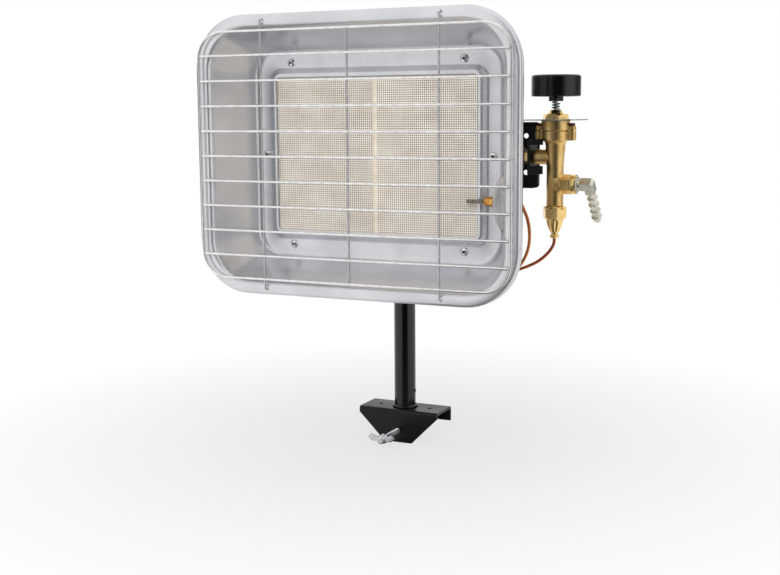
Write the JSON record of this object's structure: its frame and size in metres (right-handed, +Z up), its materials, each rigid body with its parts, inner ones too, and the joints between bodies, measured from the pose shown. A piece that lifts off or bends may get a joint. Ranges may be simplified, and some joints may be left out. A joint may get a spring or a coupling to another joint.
{
  "type": "portable propane heater",
  "caption": "Portable propane radiant heater: pressed reflector with ceramic burner plaques and wire guard on a tilting post, with gas valve, flame-failure thermocouple and collar clamp",
  "frame": {"origin": "On the post's axis, at the underside of the clamp bracket's top plate, which rests on the gas cylinder's collar", "axes": "+Z up along the post, the heater faces -Y towards the user, +X to the side of the gas valve; the head stands upright at rest"},
  "size_m": [0.3952, 0.1539, 0.4505],
  "materials": {
    "pan_paint": "light grey satin coat on pressed steel",
    "housing_steel": "aluminised pressed steel, dull",
    "grille_wire": "bright nickel-plated wire",
    "plaque_ceramic": "matte beige pressed ceramic with fine holes",
    "seam_cement": "matte cream cement",
    "gasket_fibre": "graphited ceramic-fibre board, dark grey",
    "screw_zinc": "bright zinc-plated steel",
    "valve_brass": "cast brass, satin",
    "bright_brass": "turned brass, bright",
    "lug_screw": "dark reddish lacquered steel",
    "plate_steel": "bare thin steel plate",
    "elbow_zinc": "zinc-plated forged steel, yellowish grey",
    "dark_steel": "dark plain steel",
    "magnet_steel": "nickel-plated steel",
    "seal_rubber": "black nitrile",
    "probe_steel": "heat-tinted stainless steel",
    "lead_copper": "bare copper capillary tube",
    "black_paint": "black powder coat",
    "black_plastic": "black phenolic, satin"
  },
  "bodies": {
    "stand": {"post_tube": "black_paint", "post_cap": "black_plastic", "post_ring": "black_paint", "post_set_screw": "black_paint", "clamp_bracket": "black_paint", "clamp_nut": "screw_zinc"},
    "head": {"reflector_pan": "pan_paint", "guard_frame": "grille_wire", "guard_cross_wires": "grille_wire", "guard_uprights": "grille_wire", "plaque_left": "plaque_ceramic", "plaque_right": "plaque_ceramic", "plaque_seam": "seam_cement", "front_gasket": "gasket_fibre", "rear_gasket": "gasket_fibre", "burner_housing": "housing_steel", "gas_baffle": "housing_steel", "mixer_tube": "housing_steel", "jet": "bright_brass", "jet_bracket": "black_paint", "valve_mount_plate": "black_paint", "mount_plate_screws": "screw_zinc", "burner_screws": "screw_zinc", "burner_nuts": "screw_zinc", "thermocouple_probe": "probe_steel", "thermocouple_nut": "bright_brass", "thermocouple_locknut": "bright_brass", "thermocouple_lead": "lead_copper", "valve_body": "valve_brass", "bonnet_seal": "seal_rubber", "valve_bonnet": "valve_brass", "bonnet_screws": "lug_screw", "control_plate": "plate_steel", "gland_nut": "bright_brass", "plug_spring": "dark_steel", "return_spring": "dark_steel", "magnet_unit": "magnet_steel", "magnet_nut": "bright_brass", "magnet_cap": "bright_brass", "lead_ferrule": "bright_brass", "inlet_ring": "bright_brass", "inlet_nut": "elbow_zinc", "hose_elbow": "elbow_zinc", "tilt_bracket": "black_paint", "tilt_bracket_screws": "screw_zinc", "pivot_bolt": "screw_zinc", "pivot_washers": "screw_zinc", "spindle_ring": "seal_rubber"},
    "lock": {"lock_nut": "black_plastic"},
    "plug": {"gas_plug": "valve_brass"},
    "knob_set": {"spindle": "dark_steel", "knob": "black_plastic"},
    "pushrod": {"magnet_pushrod": "magnet_steel"},
    "pad": {"clamp_pad": "black_paint"},
    "wing": {"wing_bolt": "screw_zinc"}
  },
  "joints": [
    {"name": "head_tilt", "type": "hinge", "parent": "stand", "child": "head", "pos_m": [0, 0, 0.2775], "axis": [-1, 0, 0], "range_deg": [-10, 45]},
    {"name": "lock_turn", "type": "hinge", "parent": "head", "child": "lock", "pos_m": [0.02, 0, 0.2775], "axis": [1, 0, 0], "range_deg": [-180, 180]},
    {"name": "knob_turn", "type": "hinge", "parent": "head", "child": "plug", "pos_m": [0.1805, -0.0408, 0.2775], "axis": [0, 0, 1], "range_deg": [0, 160]},
    {"name": "knob_press", "type": "slide", "parent": "plug", "child": "knob_set", "axis": [0, 0, -1], "range_m": [0, 0.005], "stiffness_N_per_m": 800, "springref_m": -0.004, "deforming": ["return_spring"]},
    {"name": "pushrod_slide", "type": "slide", "parent": "head", "child": "pushrod", "axis": [0, 0, -1], "range_m": [0, 0.005]},
    {"name": "pad_slide", "type": "slide", "parent": "stand", "child": "pad", "axis": [0, 1, 0], "range_m": [-0.005, 0.018]},
    {"name": "wing_turn", "type": "hinge", "parent": "pad", "child": "wing", "pos_m": [0, -0.059, -0.0205], "axis": [0, 1, 0], "range_deg": [-1800, 6480]}
  ],
  "couplings": [
    {"joint": "pushrod_slide", "follows": "knob_press", "ratio": 1},
    {"joint": "wing_turn", "follows": "pad_slide", "rad_per_m": 6283.2}
  ]
}
